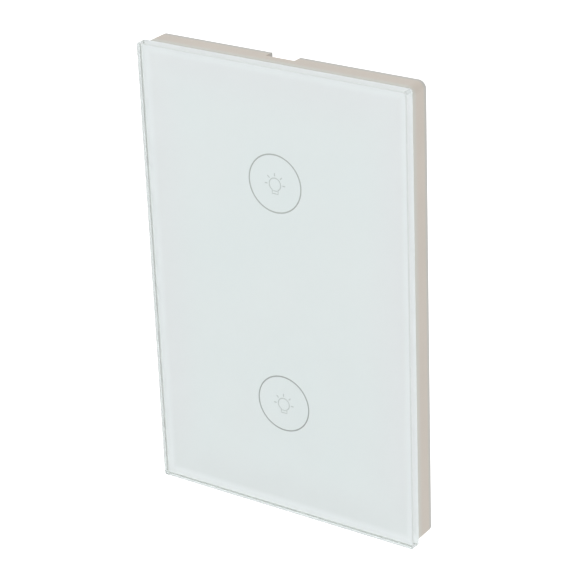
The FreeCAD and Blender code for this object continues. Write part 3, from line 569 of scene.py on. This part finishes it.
def make_board(name):
    """Solder mask over faint copper tracks, with the glass weave just visible."""
    material = moulded(name, linear(22, 88, 58), 0.28, 0.8 * MM, 0.002 * MM)
    tree = material.node_tree
    weave = calc(tree, "MULTIPLY", ripple(tree, "X", WEAVE_RATE), ripple(tree, "Z", WEAVE_RATE))
    relief(tree, tree.nodes["Principled BSDF"], weave, 0.004 * MM)
    stripes = spread(tree, ripple(tree, "X", STRIPE_RATE), 0.5, 0.6, 0.0, 0.5)
    patches = spread(tree, noise(tree, 160, 1), 0.5, 0.56, 0.0, 1.0)
    return add_zone(material, calc(tree, "MULTIPLY", stripes, patches), linear(46, 122, 76), 0.28)


def make_leaded(name, colour, node):
    """A dark moulded chip body with tinned leads above and below it."""
    material = moulded(name, colour, 0.5)
    tree = material.node_tree
    beyond = above(tree, apart(tree, along(tree, "Z"), middle_of(node).z), CHIP_BODY_HALF)
    return add_zone(material, beyond, TIN, 0.28, 1.0)


def make_pins(name):
    """Black nylon strip with square tinned pins that stand out of it."""
    material = moulded(name, linear(30, 30, 30), 0.45)
    tree = material.node_tree
    return add_zone(material, above(tree, forward(tree), STRIP_FRONT), TIN, 0.25, 1.0)


def make_transformer_finish():
    """Black bobbin, yellow taped winding and a grey ferrite core."""
    material = moulded("winding_tape", linear(214, 178, 58), 0.22)
    tree = material.node_tree
    tape = spread(tree, ripple(tree, "Y", TAPE_RATE), 0.9, 1.0, 0.0, 1.0)
    relief(tree, tree.nodes["Principled BSDF"], tape, 0.05 * MM)
    from_middle = apart(tree, along(tree, "Z"), middle_of("transformer").z)
    add_zone(material, below(tree, from_middle, CORE_HALF), linear(72, 70, 70), 0.55)
    bobbin = below(tree, along(tree, "Y"), BOBBIN_FRONT)
    return add_zone(material, bobbin, linear(34, 34, 36), 0.4)


def make_can_finish(name, node, colour):
    """Shrink sleeve on an aluminium can: bare scored top and a pale stripe down one side."""
    material = moulded(name, colour, 0.25)
    tree = material.node_tree
    x, z = middle_of(node).xz
    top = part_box(node)[1].y / MM
    add_zone(material, below(tree, along(tree, "X"), x - STRIPE_OFFSET), linear(178, 182, 186), 0.3)
    across = apart(tree, along(tree, "X"), x)
    upward = apart(tree, along(tree, "Z"), z)
    centre = calc(tree, "SQRT", calc(tree, "ADD", calc(tree, "POWER", across, 2.0),
                                     calc(tree, "POWER", upward, 2.0)))
    bare = calc(tree, "MULTIPLY", above(tree, along(tree, "Y"), top - BARE_DEPTH, 0.01),
                below(tree, centre, BARE_RADIUS))
    score = spread(tree, calc(tree, "MINIMUM", across, upward), 0.1 * MM, 0.2 * MM, 0.0, 1.0)
    relief(tree, tree.nodes["Principled BSDF"], score, 0.15 * MM)
    return add_zone(material, bare, TIN, 0.3, 1.0)


def make_choke_finish():
    """Ferrite rims with a close winding of enamelled wire between them."""
    material = moulded("ferrite", linear(60, 58, 58), 0.6)
    tree = material.node_tree
    from_middle = apart(tree, along(tree, "Y"), middle_of("choke").y)
    wound = below(tree, from_middle, WINDING_HALF)
    turns = calc(tree, "MULTIPLY", wound, ripple(tree, "Y", TURN_RATE))
    relief(tree, tree.nodes["Principled BSDF"], turns, 0.08 * MM)
    return add_zone(material, wound, COPPER, 0.3, 0.9)


def make_varistor_finish():
    """Blue dipped resin on two tinned legs."""
    material = moulded("varistor_coat", linear(40, 78, 140), 0.42, 1.2 * MM, 0.05 * MM)
    tree = material.node_tree
    return add_zone(material, below(tree, along(tree, "Y"), LEGS_END), TIN, 0.3, 1.0)


def dress_nodes():
    """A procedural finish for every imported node."""
    dress(make_glass_material(), "glass_panel")
    dress(make_ivory(), "front_frame")
    dress(moulded("foam_adhesive", linear(205, 205, 198), 0.85, 0.5 * MM, 0.05 * MM), "bonding_gasket")
    dress(make_housing(), "base_housing", "inner_cover")
    zinc = metal("zinc", linear(170, 172, 174), 0.3)
    dress(zinc, "cover_screws")
    brass = metal("nickel_plate", linear(192, 183, 158), 0.28, (1, 1, 0.1))
    for number in range(1, 5):
        dress(zinc, f"terminal_screw_{number}")
        dress(brass, f"clamp_cage_{number}", f"contact_tab_{number}")
    dress(moulded("terminal_moulding", linear(60, 62, 64), 0.5), "terminal_block")
    dress(make_board("solder_mask"), "touch_board", "power_board")
    dress(moulded("radio_mask", linear(26, 32, 48), 0.3, 0.8 * MM, 0.002 * MM), "radio_module")
    dress(metal("tinned_can", linear(200, 200, 198), 0.3), "radio_shield")
    dress(metal("gold_wire", linear(214, 190, 130), 0.25), "touch_spring_upper", "touch_spring_lower")
    dress(moulded("led_case", linear(232, 232, 226), 0.3), "led_upper", "led_lower")
    dress(make_leaded("chip_resin", linear(34, 34, 36), "touch_chip"), "touch_chip")
    dress(make_leaded("rectifier_resin", linear(36, 36, 38), "rectifier"), "rectifier")
    dress(moulded("black_nylon", linear(30, 30, 30), 0.45), "header_socket")
    dress(make_pins("pin_strip"), "pin_header")
    dress(moulded("relay_case", linear(38, 40, 44), 0.36), "relay_left", "relay_right")
    dress(make_transformer_finish(), "transformer")
    for name, node, colour in (("bulk_sleeve", "bulk_capacitor", linear(26, 30, 44)),
                               ("output_sleeve", "output_capacitor", linear(34, 28, 26))):
        dress(make_can_finish(name, node, colour), node)
    dress(moulded("film_case", linear(210, 176, 66), 0.36, 0.6 * MM, 0.01 * MM), "line_capacitor")
    dress(make_varistor_finish(), "varistor")
    dress(moulded("fuse_case", linear(70, 44, 34), 0.4), "fuse")
    dress(make_choke_finish(), "choke")


# Small parts that the solids leave to the scene

def stack(shape, x, z, face, levels, steps):
    """A solid of rounded rectangles on a face, one in front of another, all in millimetres.

    Each level is its height over the face, half width, half height and corner radius.
    """
    rings = []
    for height, half_wide, half_tall, corner in levels:
        rings.append([shape.verts.new(((x + across) * MM, (face - height) * MM, (z + upward) * MM))
                      for across, upward in rounded_outline(half_wide, half_tall, corner, steps)])
    shape.faces.new(rings[0])
    shape.faces.new(list(reversed(rings[-1])))
    for here, there in zip(rings, rings[1:]):
        for index in range(len(here)):
            after = (index + 1) % len(here)
            shape.faces.new((here[index], here[after], there[after], there[index]))


def turned(*pairs):
    """Levels of a turned shape from pairs of height and radius."""
    return [(height, radius, radius, radius) for height, radius in pairs]


def draw_line(shape, face, points, width, layer, closed=False):
    """A stroke on a face, all in millimetres; its layer is how far it stands out and reaches in."""
    out, into = layer
    ribbon(shape, [(x * MM, z * MM) for x, z in points], width * MM, (face - out) * MM,
           (face + into) * MM, closed)


def wire(name, points, thick, material, body):
    """A round wire through points given in millimetres."""
    curve = bpy.data.curves.new(name, "CURVE")
    curve.dimensions = "3D"
    curve.bevel_depth = thick / 2 * MM
    curve.bevel_resolution = 2
    curve.use_fill_caps = True
    spline = curve.splines.new("POLY")
    spline.points.add(len(points) - 1)
    for point, (x, y, z) in zip(spline.points, points):
        point.co = (x * MM, y * MM, z * MM, 1)
    curve.materials.append(material)
    piece = bpy.data.objects.new(name, curve)
    bpy.context.scene.collection.objects.link(piece)
    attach(piece, body)
    return piece


BOARD_FRONT = front_of("touch_board")
SPRING_PLACES = (("upper", 30), ("lower", -30))

# Touch springs: five turns, of which nearly one lies flat at each end
SPRING_RADIUS = 4.9
SPRING_WIRE = 0.6
SPRING_SEAT = SPRING_WIRE / 2 + 0.01
SPRING_RISE = 3.28
SPRING_TURNS = 5
FLAT_TURNS = 0.9
RISING_TURNS = 3.2
STEPS_PER_TURN = 24

LAMP_CUP = ((0, 1.7, 1.35, 0.2), (0.1, 1.75, 1.4, 0.2), (1.25, 1.72, 1.37, 0.2),
            (1.4, 1.6, 1.25, 0.2), (1.4, 1.12, 1.12, 1.1), (1.1, 0.95, 0.95, 0.94))
LAMP_LENS = turned((1.05, 0.9), (1.26, 1.03), (1.33, 0.9), (1.36, 0.5))


def spring_path(height):
    """Points of a spring's wire, from its turn on the board to its turn at the frame."""
    points = []
    for step in range(SPRING_TURNS * STEPS_PER_TURN + 1):
        turn = step / STEPS_PER_TURN
        risen = min(max((turn - FLAT_TURNS) / RISING_TURNS, 0), 1)
        angle = 2 * math.pi * turn
        points.append((SPRING_RADIUS * math.cos(angle),
                       BOARD_FRONT - SPRING_SEAT - SPRING_RISE * risen,
                       height + SPRING_RADIUS * math.sin(angle)))
    return points


def make_springs_and_lamps():
    """Round-wire touch springs with closed end turns, and the lamps inside them."""
    gold = metal("spring_plate", linear(218, 196, 138), 0.22)
    cup = moulded("lamp_cup", linear(234, 234, 228), 0.3)
    resin = moulded("lamp_resin", linear(226, 214, 120), 0.16, 0.5 * MM, 0.002 * MM)
    for name, z in SPRING_PLACES:
        spring = wire("spring_wire_" + name, spring_path(z), SPRING_WIRE, gold, "base")
        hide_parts("touch_spring_" + name)
        shape = bmesh.new()
        stack(shape, 0, z, BOARD_FRONT, LAMP_CUP, 6)
        case = build("lamp_case_" + name, shape, cup, "base", 30)
        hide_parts("led_" + name)
        shape = bmesh.new()
        stack(shape, 0, z, BOARD_FRONT, LAMP_LENS, 6)
        build("lamp_lens_" + name, shape, resin, "base", 60)


# Parts on the touch board: levels over it, then places across and up, in millimetres
CHIP_BODY = ((0.04, 0.46, 0.4, 0.05), (0.46, 0.46, 0.4, 0.05), (0.5, 0.42, 0.36, 0.05))
CHIP_END = ((0, 0.32, 0.5, 0.1), (0.12, 0.26, 0.46, 0.1), (0.42, 0.2, 0.42, 0.06),
            (0.49, 0.15, 0.38, 0.05))
CHIP_END_OFFSET = 0.62
REGULATOR = ((0.08, 1.5, 0.8, 0.1), (0.6, 1.5, 0.8, 0.1), (1.1, 1.35, 0.65, 0.1))
REGULATOR_LEAD = ((0, 0.3, 0.55, 0.08), (0.16, 0.22, 0.5, 0.08), (0.3, 0.2, 0.4, 0.05))
LEAD_JOINT = ((0, 0.3, 0.6, 0.08), (0.06, 0.28, 0.58, 0.08), (0.2, 0.1, 0.3, 0.05))
PIN_JOINT = turned((0, 0.85), (0.06, 0.82), (0.25, 0.55), (0.6, 0.3), (0.75, 0.12))
SPRING_JOINT = turned((0, 1.0), (0.08, 0.96), (0.2, 0.6), (0.28, 0.2))

DARK_CHIPS = ((-11.2, 24.2), (7.6, 24.2), (11.6, 19.4), (-11.4, 9.4), (-11.4, 3.0), (11.4, 6.2),
              (-11.4, -5.4), (-12.4, -21.8), (9.8, -21.8))
PALE_CHIPS = ((-7.6, 24.2), (11.2, 24.2), (-11.6, 19.4), (-11.4, 6.2), (11.4, 9.4), (11.4, -0.4),
              (11.4, -3.6), (-9.6, -21.8), (12.6, -21.8))
REGULATOR_PLACE = (0, -23.2)
REGULATOR_LEADS = ((-0.95, -24.4), (0.95, -24.4), (0, -22.0))
PIN_COUNT = 6
PIN_PITCH = 2.54
PIN_ROW = -18
LEAD_COUNT = 8
LEAD_PITCH = 1.27
LEAD_ROWS = (16.35, 22.45)

# Tracks on the touch board: heights of their bends, and the steps from one track to the next
TRACK_LAYER = (0.03, 0.01)
TRACK_LINE = 0.28
TRACK_COUNT = 3
UPPER_BENDS = (23.2, 24.6, 27.5)
UPPER_STEP = 0.6
LOWER_BENDS = (15.6, 14.6, 13.4, -16)
LOWER_STEP = 0.5
OUTER_TRACK = 10.6
OUTER_STEP = 0.7
SPRING_TRACK_LINE = 0.5
SPRING_TRACK = ((13.6, 25), (13.6, -20), (9, -26), (5.6, -28))


def place_in_row(index, count, pitch):
    """The place of one of a row of parts that is centred on X = 0."""
    return (index - (count - 1) / 2) * pitch


def make_board_parts():
    """Chip resistors and capacitors, a regulator and solder joints on the touch board."""
    ends, dark, pale = bmesh.new(), bmesh.new(), bmesh.new()
    for shape, places in ((dark, DARK_CHIPS), (pale, PALE_CHIPS)):
        for x, z in places:
            stack(shape, x, z, BOARD_FRONT, CHIP_BODY, 2)
            for side in (-1, 1):
                stack(ends, x + side * CHIP_END_OFFSET, z, BOARD_FRONT, CHIP_END, 2)
    stack(dark, *REGULATOR_PLACE, BOARD_FRONT, REGULATOR, 2)
    for x, z in REGULATOR_LEADS:
        stack(ends, x, z, BOARD_FRONT, REGULATOR_LEAD, 2)
    for index in range(PIN_COUNT):
        stack(ends, place_in_row(index, PIN_COUNT, PIN_PITCH), PIN_ROW, BOARD_FRONT, PIN_JOINT, 4)
    for index in range(LEAD_COUNT):
        for z in LEAD_ROWS:
            stack(ends, place_in_row(index, LEAD_COUNT, LEAD_PITCH), z, BOARD_FRONT, LEAD_JOINT, 2)
    for _, z in SPRING_PLACES:
        stack(ends, -SPRING_RADIUS, z, BOARD_FRONT, SPRING_JOINT, 4)
    tin = metal("solder", linear(196, 197, 196), 0.24, grain=0.12 * MM, depth=0.02 * MM)
    build("board_solder", ends, tin, "base", 50)
    black = moulded("chip_black", linear(40, 40, 42), 0.4)
    build("board_chips_dark", dark, black, "base", 30)
    ceramic = moulded("ceramic", linear(176, 146, 108), 0.5)
    build("board_chips_pale", pale, ceramic, "base", 30)


def lead_tracks(index):
    """The two tracks of one of a side's outer leads: to the spring, and out and down the board."""
    x = place_in_row(index + LEAD_COUNT - TRACK_COUNT, LEAD_COUNT, LEAD_PITCH)
    start, bend, end = UPPER_BENDS
    upper = ((x, start), (x + index * UPPER_STEP, bend + index), (x + 1 + index, end))
    outer = OUTER_TRACK - index * OUTER_STEP
    drop = index * LOWER_STEP
    start, bend, turn, end = LOWER_BENDS
    lower = ((x, start), (x, bend - drop), (outer, turn - drop), (outer, end + index))
    return upper, lower


def make_tracks():
    """Copper tracks under the solder mask, alike on the left and the right."""
    shape = bmesh.new()
    for side in (-1, 1):
        for index in range(TRACK_COUNT):
            for track in lead_tracks(index):
                mirrored = [(side * x, z) for x, z in track]
                draw_line(shape, BOARD_FRONT, mirrored, TRACK_LINE, TRACK_LAYER)
        mirrored = [(side * x, z) for x, z in SPRING_TRACK]
        draw_line(shape, BOARD_FRONT, mirrored, SPRING_TRACK_LINE, TRACK_LAYER)
    copper = moulded("masked_copper", linear(52, 128, 80), 0.26)
    build("board_tracks", shape, copper, "base", 30)


# The radio board's edge pads and printed aerial, and its can, in millimetres
RADIO_PAD = ((0, 0.42, 0.45, 0.12), (0.82, 0.42, 0.45, 0.12), (0.84, 0.36, 0.4, 0.1))
RADIO_PAD_SIDE = 7.62
RADIO_PAD_COUNT = 9
RADIO_PAD_PITCH = 1.6
RADIO_PAD_LOWEST = -10.6
AERIAL_LAYER = (0.04, 0.01)
AERIAL_LINE = 0.5
AERIAL_WAVES = 4
AERIAL_STEP = 1.6
AERIAL_LEFT = -6.4
AERIAL_FOOT = 4.9
AERIAL_DIP = 7.2
AERIAL_TOP = 10.9
CREASE_HALF_WIDE = 4.9
CREASE_HALF_TALL = 6.4
CREASE_CORNER = 0.6
CREASE_LAYER = (0.04, 0.02)
CREASE_LINE = 0.35


def make_radio_pads():
    """Gold-plated pads on the two long edges of the radio board."""
    shape = bmesh.new()
    for side in (-1, 1):
        for index in range(RADIO_PAD_COUNT):
            z = RADIO_PAD_LOWEST + index * RADIO_PAD_PITCH
            stack(shape, side * RADIO_PAD_SIDE, z, BOARD_FRONT, RADIO_PAD, 3)
    gold = metal("gold_plate", linear(222, 190, 110), 0.25)
    build("radio_pads", shape, gold, "base", 30)


def make_aerial():
    """The radio board's printed aerial, which winds across its upper end and ends on a way down."""
    path = [(AERIAL_LEFT, AERIAL_FOOT), (AERIAL_LEFT, AERIAL_TOP)]
    for wave in range(AERIAL_WAVES):
        middle = AERIAL_LEFT + AERIAL_STEP * (2 * wave + 1)
        after = AERIAL_LEFT + AERIAL_STEP * (2 * wave + 2)
        path += [(middle, AERIAL_TOP), (middle, AERIAL_DIP), (after, AERIAL_DIP), (after, AERIAL_TOP)]
    shape = bmesh.new()
    draw_line(shape, front_of("radio_module"), path[:-2], AERIAL_LINE, AERIAL_LAYER)
    masked = metal("masked_aerial", linear(150, 120, 70), 0.35)
    build("radio_aerial", shape, masked, "base", 30)


def make_can_crease():
    """The line pressed round the lid of the radio can."""
    middle = middle_of("radio_shield").z
    outline = [(x, middle + z) for x, z in
               rounded_outline(CREASE_HALF_WIDE, CREASE_HALF_TALL, CREASE_CORNER, 5)]
    shape = bmesh.new()
    draw_line(shape, front_of("radio_shield"), outline, CREASE_LINE, CREASE_LAYER, closed=True)
    pressed = metal("can_line", linear(186, 187, 186), 0.32)
    build("can_crease", shape, pressed, "base", 30)


# Heads of the two cover screws, in millimetres
SCREW_PLACES = ((-18.6, 28.0), (18.6, -13.0))
SCREW_DOME = turned((-0.1, 1.9), (0, 1.86), (0.22, 1.6), (0.36, 1.1), (0.4, 0.4))
CROSS_ARM = 1.05
CROSS_HALF_LINE = 0.22
CROSS_HEIGHTS = (0.3, 0.415)


def cross_outline():
    """The twelve corners of a screw's cross, quarter by quarter."""
    corners = []
    for quarter in range(4):
        angle = math.radians(90 * quarter)
        for out, up in ((CROSS_ARM, -CROSS_HALF_LINE), (CROSS_ARM, CROSS_HALF_LINE),
                        (CROSS_HALF_LINE, CROSS_HALF_LINE)):
            corners.append((out * math.cos(angle) - up * math.sin(angle),
                            out * math.sin(angle) + up * math.cos(angle)))
    return corners


def make_screw_heads():
    """Raised pan heads for the two cover screws, with dark crosses of painted shade where their cross
    recesses are.
    """
    head = front_of("cover_screws")
    foot, top = CROSS_HEIGHTS
    domes, shade_crosses = bmesh.new(), bmesh.new()
    for x, z in SCREW_PLACES:
        stack(domes, x, z, head, SCREW_DOME, 6)
        outline = [((x + across) * MM, (z + upward) * MM) for across, upward in cross_outline()]
        prism(shade_crosses, outline, (head - top) * MM, (head - foot) * MM)
    zinc = metal("screw_zinc", linear(176, 178, 178), 0.26)
    build("screw_heads", domes, zinc, "base", 50)
    # Painted shade: a dark cross stands on each head in place of its recess.
    shade = moulded("recess_shade", linear(58, 58, 58), 0.6)
    build("screw_shade_crosses", shade_crosses, shade, "base", 20)


# Studio

WORLD_LIGHT = 0.675
FLOOR_LIFT = 0.6
FLOOR_HEIGHT = -0.25
FLOOR_REACH = 12
LAMP_SIZE = 1.4
LAMPS = (("key", (-0.5, -1.3, 1.3), 9.6), ("fill", (1.5, -0.4, 0.5), 3.3))

# The camera that was fitted to the photograph
CAMERA_LENS = 142.26
CAMERA_PLACE = Vector((0.29464, -0.42783, 0.23510))
CAMERA_RIGHT = Vector((0.82984, 0.55688, -0.03538))
CAMERA_UP = Vector((-0.20446, 0.36244, 0.90930))


def look_white(tree):
    """1 for camera, mirror and see-through rays, which see the plain white surroundings."""
    path = put(tree, "ShaderNodeLightPath")
    seen = calc(tree, "MAXIMUM", path.outputs["Is Camera Ray"], path.outputs["Is Glossy Ray"])
    return calc(tree, "MAXIMUM", seen, path.outputs["Is Transmission Ray"])


def make_world():
    """Even white surroundings, dimmer as a light than they look."""
    world = bpy.data.worlds.new("studio")
    bpy.context.scene.world = world
    world.use_nodes = True
    tree = world.node_tree
    tree.nodes.clear()
    seen = put(tree, "ShaderNodeBackground", Color=(1, 1, 1, 1), Strength=1.0)
    light = put(tree, "ShaderNodeBackground", Color=(1, 1, 1, 1), Strength=WORLD_LIGHT)
    mixed = put(tree, "ShaderNodeMixShader", _0=look_white(tree), _1=light.outputs[0],
                _2=seen.outputs[0])
    out = put(tree, "ShaderNodeOutputWorld")
    tree.links.new(mixed.outputs[0], out.inputs["Surface"])


def make_floor():
    """Plain pale floor, well below the switch, that looks as white as the surroundings."""
    material, tree, shader = new_shader("studio_floor")
    shader.inputs["Base Color"].default_value = (0.9, 0.9, 0.9, 1)
    shader.inputs["Roughness"].default_value = 0.9
    lift = put(tree, "ShaderNodeEmission", Color=(1, 1, 1, 1), Strength=FLOOR_LIFT)
    chosen = put(tree, "ShaderNodeMixShader", _0=look_white(tree), _2=lift.outputs[0])
    both = put(tree, "ShaderNodeAddShader", _0=shader.outputs["BSDF"], _1=chosen.outputs[0])
    tree.links.new(both.outputs[0], tree.nodes["Material Output"].inputs["Surface"])
    shape = bmesh.new()
    bmesh.ops.create_grid(shape, x_segments=1, y_segments=1, size=FLOOR_REACH,
                          matrix=Matrix.Translation((0, 0, FLOOR_HEIGHT)))
    mesh = bpy.data.meshes.new("floor")
    shape.to_mesh(mesh)
    shape.free()
    mesh.materials.append(material)
    floor = bpy.data.objects.new("floor", mesh)
    bpy.context.scene.collection.objects.link(floor)


def make_lamp(name, from_where, power):
    """A square soft lamp that looks at the switch."""
    lamp = bpy.data.lights.new(name, "AREA")
    lamp.size = LAMP_SIZE
    lamp.energy = power
    holder = bpy.data.objects.new(name, lamp)
    holder.location = from_where
    holder.rotation_euler = (-Vector(from_where)).to_track_quat("-Z", "Y").to_euler()
    bpy.context.scene.collection.objects.link(holder)


def make_camera():
    """The photograph's viewpoint, a long lens a little above and to the right."""
    camera = bpy.data.cameras.new("camera")
    camera.sensor_width = 36
    camera.lens = CAMERA_LENS
    camera.clip_start = 0.01
    camera.clip_end = 100
    holder = bpy.data.objects.new("camera", camera)
    back = CAMERA_RIGHT.cross(CAMERA_UP)
    turn = Matrix((CAMERA_RIGHT, CAMERA_UP, back)).transposed().to_4x4()
    holder.matrix_world = Matrix.Translation(CAMERA_PLACE) @ turn
    bpy.context.scene.collection.objects.link(holder)
    bpy.context.scene.camera = holder


dress_nodes()
make_print()
make_springs_and_lamps()
make_board_parts()
make_tracks()
make_radio_pads()
make_aerial()
make_can_crease()
make_screw_heads()
make_world()
make_floor()
for lamp_name, lamp_place, lamp_power in LAMPS:
    make_lamp(lamp_name, lamp_place, lamp_power)
make_camera()
bpy.context.scene.view_settings.view_transform = "Standard"
